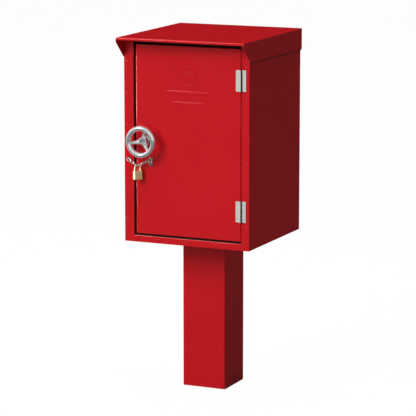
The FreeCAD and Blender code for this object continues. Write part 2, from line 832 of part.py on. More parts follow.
def make_hand_wheel():
    """A dished wheel: a round rim, a hub set back from it and spokes that spread at the hub."""
    body = make_body("hand_wheel")
    ring = "wheel_radius - rim_radius"
    hub = sketch_on(body, "XZ_Plane", "hub")
    add_outline(hub, [
        ("bore_radius", "hub_back"),
        ("hub_radius", "hub_back"),
        ("hub_radius", "hub_face - hub_web"),
        ("hub_radius - hub_web", "hub_face"),
        ("hub_recess_radius", "hub_face"),
        ("hub_recess_radius", "hub_face - hub_recess"),
        ("wheel_screw_radius + hole_play", "hub_face - hub_recess"),
        ("wheel_screw_radius + hole_play", "spindle_front"),
        ("bore_radius", "spindle_front"),
    ])
    revolve(body, "hub", hub, "Z_Axis")
    root = "hub_radius - hub_web"
    middle = "(hub_radius + wheel_radius - 2 * rim_radius) / 2"
    hub_level = "hub_face - spoke_thickness"
    stations = [
        (root, "spoke_root_width / 2", hub_level),
        (middle, "spoke_width / 2", f"({hub_level} + rim_stand_off) / 2"),
        (ring, "spoke_width / 2", "rim_stand_off"),
    ]
    sections = []
    for index, (reach, half_width, level) in enumerate(stations):
        section = sketch_on(body, "YZ_Plane", f"spoke_{index}", reach)
        flat = f"({half_width}) / 2"
        face, flank = "spoke_thickness / 2", "spoke_thickness / 4"
        add_outline(section, [
            (f"-({half_width})", f"{level} - {flank}"),
            (f"-{flat}", f"{level} - {face}"),
            (flat, f"{level} - {face}"),
            (half_width, f"{level} - {flank}"),
            (half_width, f"{level} + {flank}"),
            (flat, f"{level} + {face}"),
            (f"-{flat}", f"{level} + {face}"),
            (f"-({half_width})", f"{level} + {flank}"),
        ])
        sections.append(section)
    spoke = body.newObject("PartDesign::AdditiveLoft", "hand_wheel_spoke")
    spoke.Profile = sections[0]
    spoke.Sections = sections[1:]
    spokes = body.newObject("PartDesign::PolarPattern", "hand_wheel_spokes")
    spokes.Originals = [spoke]
    spokes.Axis = (origin_feature(body, "Z_Axis"), [""])
    spokes.Angle = 360
    spokes.Occurrences = SPOKES
    body.Tip = spokes
    rim = sketch_on(body, "XZ_Plane", "rim")
    add_circle(rim, "rim_radius", ring, "rim_stand_off")
    revolve(body, "rim", rim, "Z_Axis")
    return to_wheel(body, number("spoke_angle"))


def make_wheel_screw():
    body = make_body("wheel_screw")
    seat = "hub_face - hub_recess"
    profile = sketch_on(body, "XZ_Plane", "profile")
    add_outline(profile, [
        ("0", f"{seat} - wheel_screw_length"),
        ("wheel_screw_radius", f"{seat} - wheel_screw_length"),
        ("wheel_screw_radius", seat),
        ("wheel_screw_head_radius", seat),
        ("wheel_screw_head_radius", f"{seat} + wheel_screw_head"),
        ("0", f"{seat} + wheel_screw_head"),
    ])
    revolve(body, "turned", profile, "Z_Axis")
    socket = sketch_on(body, "XY_Plane", "socket", f"{seat} + wheel_screw_head")
    add_hexagon(socket, "wheel_screw_socket")
    pocket(body, "socket_cut", socket, "wheel_screw_head / 2")
    return to_wheel(body)


def make_spindle():
    """The spindle, with a tapped front end, a collar behind the bush and a square for the cam."""
    body = make_body("spindle")
    profile = sketch_on(body, "XZ_Plane", "profile")
    collar_front = "-(bush_depth + collar_play)"
    shoulder = "-cam_front"
    tapped = "wheel_screw_radius + thread_play"
    tap_end = "spindle_front - wheel_screw_length"
    add_outline(profile, [
        ("0", "-cam_stub_back"),
        ("cam_stub_radius", "-cam_stub_back"),
        ("cam_stub_radius", shoulder),
        ("spindle_radius", shoulder),
        ("spindle_radius", f"{collar_front} - spindle_collar"),
        ("spindle_collar_radius", f"{collar_front} - spindle_collar"),
        ("spindle_collar_radius", collar_front),
        ("spindle_radius", collar_front),
        ("spindle_radius", "spindle_front"),
        (tapped, "spindle_front"),
        (tapped, tap_end),
        ("0", tap_end),
    ])
    revolve(body, "turned", profile, "Z_Axis")
    square = sketch_on(body, "XY_Plane", "square", "-cam_back")
    add_square(square, "spindle_square / 2")
    pad(body, "cam_square", square, "cam_plate")
    return to_wheel(body)


def make_spindle_bush():
    body = make_body("spindle_bush")
    profile = sketch_on(body, "XZ_Plane", "profile")
    edge = "bush_flange / 2"
    add_outline(profile, [
        ("bore_radius", "-bush_depth"),
        ("bush_radius", "-bush_depth"),
        ("bush_radius", "0"),
        ("bush_flange_radius", "0"),
        ("bush_flange_radius", edge),
        (f"bush_flange_radius - {edge}", "bush_flange"),
        ("bore_radius", "bush_flange"),
    ])
    revolve(body, "turned", profile, "Z_Axis")
    return to_wheel(body)


def make_ring_nut(name, flats, bore, thickness, front):
    """A hex nut on the wheel's axis with its front face at a depth behind the door's face."""
    body = make_body(name)
    outline = sketch_on(body, "XY_Plane", "outline", f"-({front})")
    add_hexagon(outline, f"{flats} / 2")
    add_circle(outline, bore)
    pad(body, "hexagon", outline, thickness, reverse=True)
    return to_wheel(body)


def make_latch_cam():
    """The latch arm on the spindle's square. It hangs down when open and turns to the left to lock."""
    body = make_body("latch_cam")
    arm = sketch_on(body, "XY_Plane", "arm", "-cam_front")
    add_outline(arm, [
        ("-cam_width / 2", "0"),
        ("-cam_tip_width / 2", "-cam_reach"),
        ("cam_tip_width / 2", "-cam_reach"),
        ("cam_width / 2", "0"),
    ])
    pad(body, "arm_plate", arm, "cam_plate", reverse=True)
    tip = -number("cam_reach")
    half = number("cam_tip_width") / 2
    round_edges(body, "tip", "cam_corner", upright_at([(-half, tip), (half, tip)]))
    eye = sketch_on(body, "XY_Plane", "eye", "-cam_front")
    add_circle(eye, "cam_hub_radius")
    pad(body, "eye_plate", eye, "cam_plate", reverse=True)
    hole = sketch_on(body, "XY_Plane", "hole", "-cam_front")
    add_square(hole, "spindle_square / 2 + square_play")
    pocket(body, "square_hole", hole, "cam_plate")
    return to_wheel(body)


def make_cam_washer():
    body = make_body("cam_washer")
    outline = sketch_on(body, "XY_Plane", "outline", "-cam_back")
    add_circle(outline, "cam_washer_radius")
    add_circle(outline, "cam_stub_radius + square_play")
    pad(body, "disc", outline, "cam_washer", reverse=True)
    return to_wheel(body)


# Chain and padlock

def make_link(name):
    """An oval welded link, lying along X with its hole along Z."""
    pieces = []
    for end, sign, angle in (("near", "-", 90), ("far", "", -90)):
        turn = Rotation(Vector(0, 0, 1), angle)
        pieces.append(half_ring(f"{name}_{end}_bend", "link_arc", "link_wire", turn,
                                across=f"{sign}link_arc_centre"))
        pieces.append(cylinder(f"{name}_{end}_side", "link_wire", "2 * link_arc_centre",
                               across="-link_arc_centre", out=f"{sign}link_arc", turn=TO_RIGHT))
    return fuse(name, pieces)


def chain_run(start, bow_line, lean, towards):
    """The middles and hole directions of three links that rise from the bow to one side.

    The first link's hole faces along the bow's wire, the last one's faces the door, and the one
    between them lies on edge. Gives the direction of the run with them.
    """
    drop = Rotation(Vector(0, -towards, 0), number("chain_drop"))
    along = Rotation(Vector(0, 0, 1), towards * lean).multVec(drop.multVec(Vector(towards, 0, 0)))
    bow_hole = square_to(along, bow_line)
    door_hole = square_to(along, Vector(0, 1, 0))
    holes = [bow_hole, along.cross(bow_hole + door_hole).normalize(), door_hole]
    wires = number("bow_wire") + number("link_wire") + number("link_slack") / 2
    bend = number("link_length") / 2 + number("link_wire")
    first = bend - wires / bow_hole.dot(bow_line)
    step = number("link_length") - number("link_slack")
    return along, [(start + along * (first + index * step), hole) for index, hole in enumerate(holes)]


def square_to(along, direction):
    """The direction, made square to a line."""
    return (direction - along * along.dot(direction)).normalize()


def make_chain():
    """Three links up to the stud on the left and three up to the eye on the right of the bow."""
    across_bow = Rotation(Vector(0, 0, 1), number("padlock_turn")).multVec(Vector(1, 0, 0))
    bow_radius, stagger = number("bow_radius"), number("link_stagger")
    bow_middle = Vector(number("bow_across"), number("bow_out"), number("bow_top") - bow_radius)
    rise = math.sqrt(bow_radius ** 2 - stagger ** 2)
    nodes = []
    ends = []
    for towards, lean in ((-1, "stud_lean"), (1, "eye_lean")):
        start = bow_middle + across_bow * towards * stagger + Vector(0, 0, rise)
        bow_line = (across_bow * rise - Vector(0, 0, towards * stagger)).normalize()
        along, links = chain_run(start, bow_line, number(lean), towards)
        for middle, hole in links:
            link = make_link(f"chain_link_{len(nodes) + 1}")
            link.Placement = Placement(middle, Rotation(along, hole.cross(along), hole, "XZY"))
            nodes.append(link)
        ends.append((middle, along))
    (stud_link, stud_way), (eye_link, eye_way) = ends
    stud_spot = stud_link + stud_way * number("link_arc_centre")
    leg_spot = eye_link + eye_way * (number("link_length") / 2 - number("eye_wire") - number("link_slack"))
    return nodes + [make_chain_stud(stud_spot), make_chain_eye(leg_spot)]


def make_chain_stud(spot):
    """A headed stud on the stile, which the chain's end link hangs over."""
    reach = f"{number('front_face') - spot.y} + stud_tip"
    base = cone("stud_foot", "stud_base_radius", "stud_base_radius - stud_base / 2", "stud_base",
                turn=TO_FRONT)
    shank = cylinder("stud_shank", "stud_radius", reach, turn=TO_FRONT)
    head = cylinder("stud_end", "stud_head_radius", "stud_head", out=f"-({reach})", turn=TO_FRONT)
    stud = fuse("chain_stud", [base, shank, head])
    stud.Placement = Placement(Vector(spot.x, number("front_face"), spot.z), Rotation())
    return stud


def make_chain_eye(leg_spot):
    """A screw-on eye: an upright plate on the door with a bow, whose upper leg holds the last link."""
    reach = f"{number('front_face') - leg_spot.y} + eye_room"
    plate = make_body("eye_plate")
    outline = sketch_on(plate, "XZ_Plane", "outline")
    add_rectangle(outline, "-eye_plate_width / 2", "-eye_plate_height / 2", "eye_plate_width / 2",
                  "eye_plate_height / 2")
    pad(plate, "sheet", outline, "eye_plate")
    wide, tall = number("eye_plate_width") / 2, number("eye_plate_height") / 2

    def corner(bounds):
        level = near(bounds.XMin, bounds.XMax) and near(bounds.ZMin, bounds.ZMax)
        return level and near(abs(bounds.XMin), wide) and near(abs(bounds.ZMin), tall)

    round_edges(plate, "corners", "eye_plate_corner", corner)
    upright = Rotation(Vector(0, 1, 0), 90) * Rotation(Vector(0, 0, 1), 180)
    pieces = [plate, half_ring("eye_bow", "eye_arc", "eye_wire", upright, out=f"-({reach})")]
    for side, sign in (("lower", "-"), ("upper", "")):
        pieces.append(cylinder(f"eye_{side}_leg", "eye_wire", reach, up=f"{sign}eye_arc", turn=TO_FRONT))
    eye = fuse("chain_eye", pieces)
    middle = leg_spot.z - number("eye_arc")
    eye.Placement = Placement(Vector(leg_spot.x, number("front_face"), middle), Rotation())
    return eye


def to_padlock(item):
    item.Placement = Placement(Vector(), Rotation(Vector(0, 0, 1), number("padlock_turn")))
    return put(item, "bow_across", "bow_out", "case_top")


def make_padlock():
    """The bow, the case that drops off its short leg and the plug that the key turns."""
    legs = [cylinder(f"bow_{leg}", "bow_wire", f"{leg}_depth + bow_straight", across, up=f"-{leg}_depth")
            for leg, across in (("heel", "-bow_radius"), ("toe", "bow_radius"))]
    arch = half_ring("bow_arch", "bow_radius", "bow_wire", TO_FRONT, up="bow_straight")
    shackle = to_padlock(fuse("padlock_shackle", legs + [arch]))

    case = make_body("padlock_case")
    outline = sketch_on(case, "XY_Plane", "outline")
    add_rectangle(outline, "-case_width / 2", "-case_thickness / 2", "case_width / 2", "case_thickness / 2")
    pad(case, "block", outline, "case_height", reverse=True)
    half, thick = number("case_width") / 2, number("case_thickness") / 2
    corners = [(across, out) for across in (-half, half) for out in (-thick, thick)]
    round_edges(case, "corners", "case_corner", upright_at(corners))
    low = -number("case_height")

    def rim(bounds):
        return near(bounds.ZMin, bounds.ZMax) and (near(bounds.ZMin, 0) or near(bounds.ZMin, low))

    round_edges(case, "edges", "case_edge", rim)
    for leg, sign, depth in (("heel", "-", "heel_depth"), ("toe", "", "toe_depth")):
        bore = sketch_on(case, "XY_Plane", f"{leg}_bore")
        add_circle(bore, "bow_wire + bow_play", f"{sign}bow_radius")
        pocket(case, f"{leg}_hole", bore, f"{depth} + bore_room")
    plug_bore = sketch_on(case, "XY_Plane", "plug_bore", "-case_height")
    add_circle(plug_bore, "plug_radius + plug_play")
    pocket(case, "plug_hole", plug_bore, "plug_depth + plug_play", reverse=True)
    to_padlock(case)

    plug = make_body("key_plug")
    barrel = sketch_on(plug, "XY_Plane", "barrel", "-case_height")
    add_circle(barrel, "plug_radius")
    pad(plug, "turned", barrel, "plug_depth")
    keyway = sketch_on(plug, "XY_Plane", "keyway", "-case_height")
    add_rectangle(keyway, "-keyway_width / 2", "-keyway_height / 2", "keyway_width / 2", "keyway_height / 2")
    pocket(plug, "keyway_cut", keyway, "keyway_depth", reverse=True)
    return [shackle, case, to_padlock(plug)]


def main():
    nodes = [make_post(), make_post_flange(), make_floor_pan(), make_cabinet_shell(), make_front_frame(),
             make_roof_hood(), make_hood_gasket(), make_door_seal(), make_door_panel(), make_hand_wheel(),
             make_wheel_screw(), make_spindle(), make_spindle_bush(), make_latch_cam(), make_cam_washer()]
    nodes.append(make_ring_nut("bush_nut", "bush_nut_flats", "bush_radius + thread_play", "bush_nut",
                               "sheet"))
    nodes.append(make_ring_nut("cam_nut", "cam_nut_flats", "cam_stub_radius + thread_play", "cam_nut",
                               "cam_back + cam_washer"))
    nodes += make_flange_bolts() + make_rivets() + make_hinges() + make_chain() + make_padlock()
    doc.recompute()
    for item in doc.Objects:
        if "Invalid" in item.State or "Error" in item.State:
            raise ValueError(f"{item.Name} is {item.State}")
    for node in nodes:
        if node.Shape.isNull() or not node.Shape.isValid() or not node.Shape.Solids:
            raise ValueError(f"{node.Label} has no sound shape")
    os.makedirs("parts", exist_ok=True)
    for node in nodes:
        node.Shape.exportStep(f"parts/{node.Label}.step")


main()
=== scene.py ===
import math
from functools import partial

import bmesh
import bpy
from bpy.props import FloatProperty, FloatVectorProperty, PointerProperty
from mathutils import Euler, Matrix, Vector


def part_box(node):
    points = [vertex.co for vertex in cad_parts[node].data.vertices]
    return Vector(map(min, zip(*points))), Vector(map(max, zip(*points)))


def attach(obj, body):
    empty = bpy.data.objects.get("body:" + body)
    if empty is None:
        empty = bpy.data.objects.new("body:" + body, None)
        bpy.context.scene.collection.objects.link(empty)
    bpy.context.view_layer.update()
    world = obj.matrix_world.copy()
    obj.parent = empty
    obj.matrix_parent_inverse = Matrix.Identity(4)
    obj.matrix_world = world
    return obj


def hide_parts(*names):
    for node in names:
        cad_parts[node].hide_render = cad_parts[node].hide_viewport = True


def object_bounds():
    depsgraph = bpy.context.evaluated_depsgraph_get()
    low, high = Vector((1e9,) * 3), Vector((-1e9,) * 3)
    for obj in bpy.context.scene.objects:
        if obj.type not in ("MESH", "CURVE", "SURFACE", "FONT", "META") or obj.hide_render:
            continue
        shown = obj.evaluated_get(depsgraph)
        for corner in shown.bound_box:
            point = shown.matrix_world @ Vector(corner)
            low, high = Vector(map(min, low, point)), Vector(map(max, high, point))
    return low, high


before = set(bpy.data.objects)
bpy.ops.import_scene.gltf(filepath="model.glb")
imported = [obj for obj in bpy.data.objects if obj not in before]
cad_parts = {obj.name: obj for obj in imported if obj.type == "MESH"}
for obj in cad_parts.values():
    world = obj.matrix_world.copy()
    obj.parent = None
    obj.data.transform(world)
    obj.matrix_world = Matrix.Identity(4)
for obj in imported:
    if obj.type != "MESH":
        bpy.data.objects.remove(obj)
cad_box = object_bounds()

bl_info = {
    "name": "Parcel Box",
    "version": (1, 0, 0),
    "blender": (4, 5, 0),
    "location": "View3D > Sidebar > Parcel Box",
    "description": "Dresses a steel parcel box on a post and sets it in a plain studio",
    "category": "Object",
}

MILLIMETRE = 0.001
TOUCHING = 0.001 * MILLIMETRE
SHARP_ANGLE = math.radians(35)
SENSOR_WIDTH = 36.0
CAMERA_REACH = 100.0

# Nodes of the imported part, by the finish that they take
PAINTED = ("post", "post_flange", "floor_pan", "cabinet_shell", "front_frame", "roof_hood", "door_panel")
RIVETS = ("left_stile_rivets", "right_stile_rivets", "left_side_rivets", "right_side_rivets",
          "rail_rivets")
CHROMED = ("hand_wheel", "spindle_bush")
HINGES = ("upper_frame_leaf", "lower_frame_leaf", "upper_door_leaf", "lower_door_leaf")
HINGE_PINS = ("upper_hinge_pin", "lower_hinge_pin")
PLATED = ("flange_bolts", "flange_washers", "flange_nuts", "wheel_screw", "spindle", "latch_cam",
          "cam_washer", "cam_nut", "bush_nut")
CHAIN = ("chain_stud", "chain_eye", *(f"chain_link_{number}" for number in range(1, 7)))
PADLOCK = ("padlock_case", "padlock_shackle", "key_plug")
# The hood's gasket is a dark strip of painted shade under the hood's skirt; the door's seal is rubber that
# also darkens the door's gaps as painted shade
SEALS_AND_SHADE_STRIPS = ("hood_gasket", "door_seal")

# Nodes that the strip lamp on the left picks out
EDGE_LIT = ("door_panel", "padlock_case", "padlock_shackle", *CHAIN)

# How far the finishes stray, and how deep their bumps are as a share of the width of those
PAINT_TINT = 0.07
DRIFT_DULLING = 0.07
CLOUD_DULLING = 0.06
RIPPLE_DEPTH = 1 / 80
RIPPLE_STRENGTH = 0.12
GRAIN_DEPTH = 1 / 40
GRAIN_STRENGTH = 0.25
RUBBER_ROUGHNESS = 0.62
BLOOM_DULLING = 0.2
RUBBER_SPECULAR = 0.3

# Where painted shade lies beside a hinge barrel, on its right, in radii of the barrel from its pin
SHADE_START = 0.45
SHADE_END = 1.15
SHADE_EDGE = 0.15

# The least upward part of the normal of a face that counts as level
LEVEL = 0.9

# Rounding of a raised plate's edge, as a share of its rise
EDGE_SHARE = 0.6

# The floor, and the cloths and flags round the part, in metres
FLOOR_RADIUS = 40.0
CLOTH_START = 0.01
CLOTH_LIFT = 0.002
FLAG_DISTANCE = 16.0
FLAG_SILL = 1.0
FLAG_HEIGHT = 10.0

# Straight pieces that make up the floor's rim and each flag's turn
FLOOR_SEGMENTS = 96
FLAG_SEGMENTS = 24

# Turns round the part that the flags span, in degrees to the right from straight in front
FRONT = (-60, 60)
SIDE = (60, 125)
REAR = (125, 180)
BACK = (180, 220)
LEFT = (220, 300)
ALL_ROUND = (-60, 300)


def colour_property(name, description, default):
    return FloatVectorProperty(name=name, description=description, default=default, subtype="COLOR",
                               min=0.0, max=1.0)


def length_property(name, description, millimetres):
    return FloatProperty(name=name, description=description, default=millimetres * MILLIMETRE,
                         subtype="DISTANCE", unit="LENGTH", min=0.0, precision=4)


def share_property(name, description, default):
    return FloatProperty(name=name, description=description, default=default, subtype="FACTOR",
                         min=0.0, max=1.0)


def power_property(name, description, watts):
    return FloatProperty(name=name, description=description, default=watts, unit="POWER", min=0.0)


def place_property(name, description, default):
    return FloatVectorProperty(name=name, description=description, default=default,
                               subtype="TRANSLATION", unit="LENGTH")


def angle_property(name, description, degrees):
    return FloatProperty(name=name, description=description, default=math.radians(degrees), subtype="ANGLE")


class FinishProperties(bpy.types.PropertyGroup):
    """Colours and gloss of the finishes."""

    paint: colour_property("Paint", "Colour of the gloss paint", (0.50, 0.0055, 0.0098))
    paint_roughness: share_property("Paint Roughness", "How dull the paint is", 0.16)
    paint_specular: share_property("Paint Specular", "Strength of the paint's reflection", 0.4)
    rivet_specular: share_property("Rivet Specular", "Strength of the reflection on the rivets", 0.9)
    drift: length_property("Drift", "Width of the slow changes in the paint's colour", 140)
    cloud: length_property("Cloud", "Width of the duller patches in the paint", 20)
    peel: length_property("Peel", "Width of the ripples in the paint", 1.6)
    chrome: colour_property("Chrome", "Colour of the plated wheel", (0.9, 0.91, 0.93))
    hinge: colour_property("Hinge Steel", "Colour of the hinges", (0.58, 0.566, 0.54))
    # Near-black pins, which put a dark dot at the foot of each hinge barrel
    hinge_pin: colour_property("Hinge Pin", "Colour of the blackened hinge pins", (0.02, 0.019, 0.018))
    # Painted shade: the colour of a dark strip beside each hinge barrel, where the crease falls in shade
    hinge_painted_shade: colour_property("Hinge Painted Shade", "Colour of the dirt by the barrels", (0.03, 0.008, 0.008))
    zinc: colour_property("Zinc", "Colour of the plated fasteners", (0.58, 0.59, 0.61))
    chain: colour_property("Chain Steel", "Colour of the chain", (0.58, 0.575, 0.56))
    brass: colour_property("Brass", "Colour of the padlock", (0.88, 0.65, 0.34))
    # The seals' dark colour is also painted shade in the seams under the hood and round the door
    rubber: colour_property("Rubber", "Colour of the seals", (0.012, 0.012, 0.012))
    stain: length_property("Stain", "Width of the stains on metal and rubber", 6)


class DetailProperties(bpy.types.PropertyGroup):
    """Sizes of the pieces that are added to the part."""

    cross_arm: length_property("Cross Arm", "Width of a screw's cross recess", 0.9)
    cross_reach: length_property("Cross Reach", "Half length of a screw's cross recess", 1.9)
    cross_depth: length_property("Cross Depth", "Depth of a screw's cross recess", 0.9)
    head_edge: length_property("Head Edge", "Rounding of a screw's rim", 0.2)
    relief_rise: length_property("Relief Rise", "Height of the pressed sign on the door", 0.9)
    sign_up: length_property("Sign Up", "Height of the parcel sign over the door's foot", 502)
    sign_width: length_property("Sign Width", "Width of the parcel sign", 44)
    sign_corner: length_property("Sign Corner", "Corner radius of the parcel sign", 5.5)
    sign_line: length_property("Sign Line", "Line width of the parcel sign", 3.5)
    sign_tape: length_property("Sign Tape", "Length of the tape in the parcel sign", 18.48)
    bead_height: length_property("Bead Height", "Width of the pressed beads under the sign", 12)
    bead_corner: length_property("Bead Corner", "Corner radius of the beads, under half their width", 5.88)
    upper_bead: length_property("Upper Bead", "Length of the upper bead", 146)
    upper_bead_up: length_property("Upper Bead Up", "Height of the upper bead over the door's foot", 457)
    lower_bead: length_property("Lower Bead", "Length of the lower bead", 112)
    lower_bead_up: length_property("Lower Bead Up", "Height of the lower bead over the door's foot", 423)


class StudioProperties(bpy.types.PropertyGroup):
    """The camera, the lamps and the floor."""

    floor: colour_property("Floor", "Colour of the floor", (0.45, 0.45, 0.45))
    floor_glow: share_property("Floor Glow", "Share of white in the floor as the camera sees it", 0.95)
    floor_white: FloatProperty(name="Floor White", description="Strength of the floor's white",
                               default=1.03, min=0.0)
    front_cloth: share_property("Front Cloth", "Brightness of the cloth in front of the door", 0.13)
    front_flag: share_property("Front Flag", "Brightness of the flag in front of the door", 0.85)
    side_flag: share_property("Side Flag", "Brightness of the flag on the right", 0.4)
    rear_flag: share_property("Rear Flag", "Brightness of the flag at the back on the right", 0.05)
    back_flag: share_property("Back Flag", "Brightness of the flag at the back on the left", 0.01)
    left_cloth: share_property("Left Cloth", "Brightness of the cloth on the floor on the left", 0.3)
    left_flag: share_property("Left Flag", "Brightness of the flag on the left", 0.55)
    top_flag: share_property("Top Flag", "Brightness of the flag over the hood", 0.4)
    sky: share_property("Sky", "Brightness of the sky as the camera sees it", 0.98)
    ambient: FloatProperty(name="Ambient", description="Light from all round", default=0.08, min=0.0)
    key_power: power_property("Key", "Lamp at the front left", 1160.0)
    key_place: place_property("Key Place", "The key lamp's place from the part's middle", (-4.2, -8.0, 5.6))
    top_power: power_property("Top", "Lamp over the hood", 190.0)
    top_place: place_property("Top Place", "The top lamp's place from the part's middle", (-0.3, 0.3, 4.0))
    edge_power: power_property("Edge", "Strip lamp on the left", 340.0)
    edge_place: place_property("Edge Place", "The strip lamp's place from the part's middle",
                               (-4.0, -1.2, 0.2))
    spark_power: power_property("Spark", "Small lamp for the highlights", 240.0)
    spark_place: place_property("Spark Place", "The small lamp's place from the part's middle",
                                (-3.4, -5.6, 3.4))
    lens: FloatProperty(name="Lens", description="Focal length on a 36 mm sensor", default=195.2,
                        subtype="DISTANCE_CAMERA")
    camera_place: place_property("Camera Place", "Where the camera stands", (2.949, -6.520, 1.879))
    camera_pitch: angle_property("Camera Pitch", "How far the camera looks down", 10.31)
    camera_yaw: angle_property("Camera Yaw", "How far the camera is turned from the door's normal", 24.48)


class ParcelBoxProperties(bpy.types.PropertyGroup):
    """All settings of the parcel box."""

    finish: PointerProperty(type=FinishProperties)
    detail: PointerProperty(type=DetailProperties)
    studio: PointerProperty(type=StudioProperties)


class Field:
    """A shader value. An expression written with it becomes Math nodes."""

    def __init__(self, nodes, socket):
        self.nodes = nodes
        self.socket = socket

    def maths(self, operation, first, second):
        return self.nodes.add("ShaderNodeMath", {"operation": operation}, {0: first, 1: second})

    def __add__(self, other):
        return self.maths("ADD", self, other)

    __radd__ = __add__

    def __sub__(self, other):
        return self.maths("SUBTRACT", self, other)

    def __rsub__(self, other):
        return self.maths("SUBTRACT", other, self)

    def __mul__(self, other):
        return self.maths("MULTIPLY", self, other)

    __rmul__ = __mul__


class Nodes:
    """Adds nodes to one node tree."""

    def __init__(self, tree):
        self.tree = tree
        tree.nodes.clear()

    def add(self, kind, settings=None, inputs=None, output=0):
        """A node with its settings, then its sockets' values and links. Gives one of its outputs."""
        node = self.tree.nodes.new(kind)
        for name, value in (settings or {}).items():
            setattr(node, name, value)
        for name, value in (inputs or {}).items():
            if isinstance(value, Field):
                self.tree.links.new(value.socket, node.inputs[name])
            else:
                node.inputs[name].default_value = value
        return None if output is None else Field(self, node.outputs[output])

    def object_place(self, stretch=(1, 1, 1)):
        """Places on the object in metres, stretched to draw a grain out along one axis."""
        place = self.add("ShaderNodeTexCoord", output="Object")
        return self.add("ShaderNodeMapping", {"vector_type": "POINT"},
                        {"Vector": place, "Scale": stretch})

    def noise(self, place, size, detail=2.0):
        """Noise whose lumps are about as wide as the size."""
        return self.add("ShaderNodeTexNoise", None,
                        {"Vector": place, "Scale": 1 / size, "Detail": detail})

    def blend(self, share, first, second):
        """A colour between two. The colour sockets of a Mix node are picked by number."""
        first, second = (end if isinstance(end, Field) else (*end, 1) for end in (first, second))
        return self.add("ShaderNodeMix", {"data_type": "RGBA"}, {0: share, 6: first, 7: second}, output=2)

    def strip(self, start, end, edge):
        """1 between two places across the object and 0 beyond them, with soft edges."""
        across = self.add("ShaderNodeSeparateXYZ", None, {0: self.object_place()}, output="X")
        smooth, half = {"interpolation_type": "SMOOTHSTEP"}, edge / 2
        rise, fall = (self.add("ShaderNodeMapRange", smooth,
                               {"Value": across, "From Min": place - half, "From Max": place + half})
                      for place in (start, end))
        return rise - fall

    def bump(self, height, depth, strength):
        return self.add("ShaderNodeBump", None,
                        {"Height": height, "Distance": depth, "Strength": strength})


def tinted(colour, factor):
    return tuple(channel * factor for channel in colour)


def finish(name, make_surface):
    """A material whose surface is made by a function of its nodes."""
    material = bpy.data.materials.new(name)
    material.use_nodes = True
    nodes = Nodes(material.node_tree)
    surface = make_surface(nodes)
    nodes.add("ShaderNodeOutputMaterial", None, {"Surface": surface}, output=None)
    return material


def painted_steel(name, look, specular):
    """Gloss paint: a fine ripple, and a colour and gloss that drift a little over the sheet."""

    def surface(nodes):
        place = nodes.object_place()
        drift = nodes.noise(place, look.drift, 3)
        cloud = nodes.noise(place, look.cloud, 2)
        ripple = nodes.noise(place, look.peel, 1)
        return nodes.add("ShaderNodeBsdfPrincipled", None, {
            "Base Color": nodes.blend(drift, tinted(look.paint, 1 - PAINT_TINT),
                                      tinted(look.paint, 1 + PAINT_TINT)),
            "Roughness": (look.paint_roughness + DRIFT_DULLING * (drift - 0.5)
                          + CLOUD_DULLING * (cloud - 0.5)),
            "Specular IOR Level": specular,
            "Normal": nodes.bump(ripple, look.peel * RIPPLE_DEPTH, RIPPLE_STRENGTH),
        })

    return finish(name, surface)


def bright_metal(look, name, colour, roughness, spread, grain, stretch=(1, 1, 1), metallic=1.0,
                 mottle=0.1, painted_shade=None):
    """Metal with a grain that changes its gloss and raises fine lines, and a mottled colour.

    The grain is its width in millimetres. Painted shade is a colour and the start, end and soft edge of its
    strip, where a crease is in shade.
    """

    def surface(nodes):
        width = grain * MILLIMETRE
        lines = nodes.noise(nodes.object_place(stretch), width, 3)
        stain = nodes.noise(nodes.object_place(), look.stain, 4)
        tone = nodes.blend(stain, tinted(colour, 1 - mottle), tinted(colour, 1 + mottle))
        # A strip of painted shade laid over the tone, where a crease falls in shade
        if painted_shade:
            tone = nodes.blend(nodes.strip(*painted_shade[1:]), tone, painted_shade[0])
        return nodes.add("ShaderNodeBsdfPrincipled", None, {
            "Base Color": tone,
            "Metallic": metallic,
            "Roughness": roughness + spread * (lines - 0.5) + spread * (stain - 0.5),
            "Normal": nodes.bump(lines, width * GRAIN_DEPTH, GRAIN_STRENGTH),
        })

    return finish(name, surface)


def black_rubber_and_shade(look):
    """Matt rubber with a bloom that lies thicker in places. Its dark colour is also painted shade in the
    seams it fills.
    """

    def surface(nodes):
        bloom = nodes.noise(nodes.object_place(), look.stain, 4)
        return nodes.add("ShaderNodeBsdfPrincipled", None, {
            "Base Color": nodes.blend(bloom, look.rubber, tinted(look.rubber, 2)),
            "Roughness": RUBBER_ROUGHNESS + BLOOM_DULLING * bloom,
            "Specular IOR Level": RUBBER_SPECULAR,
        })

    return finish("black_rubber_and_shade", surface)


def give_finish(material, names):
    """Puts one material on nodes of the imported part."""
    for name in names:
        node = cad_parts[name]
        node.data.materials.clear()
        node.data.materials.append(material)


def finished_piece(name, mesh_maker, material, body):
    """An object at the origin from a bmesh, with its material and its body."""
    form = bmesh.new()
    mesh_maker(form)
    bmesh.ops.remove_doubles(form, verts=form.verts, dist=TOUCHING)
    bmesh.ops.recalc_face_normals(form, faces=form.faces)
    mesh = bpy.data.meshes.new(name)
    form.to_mesh(mesh)
    form.free()
    mesh.materials.append(material)
    mesh.set_sharp_from_angle(angle=SHARP_ANGLE)
    piece = bpy.data.objects.new(name, mesh)
    bpy.context.scene.collection.objects.link(piece)
    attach(piece, body)
    return piece


def solid_boxes(node_name):
    """The lowest and highest corners of each separate solid in a node."""
    form = bmesh.new()
    form.from_mesh(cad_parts[node_name].data)
    bmesh.ops.remove_doubles(form, verts=form.verts, dist=TOUCHING)
    left = set(form.verts)
    boxes = []
    for start in form.verts:
        if start not in left:
            continue
        left.remove(start)
        reached = [start]
        for vert in reached:
            for edge in vert.link_edges:
                other = edge.other_vert(vert)
                if other in left:
                    left.remove(other)
                    reached.append(other)
        corners = [vert.co for vert in reached]
        boxes.append(tuple(Vector(pick(corner[axis] for corner in corners) for axis in range(3))
                           for pick in (min, max)))
    form.free()
    return boxes


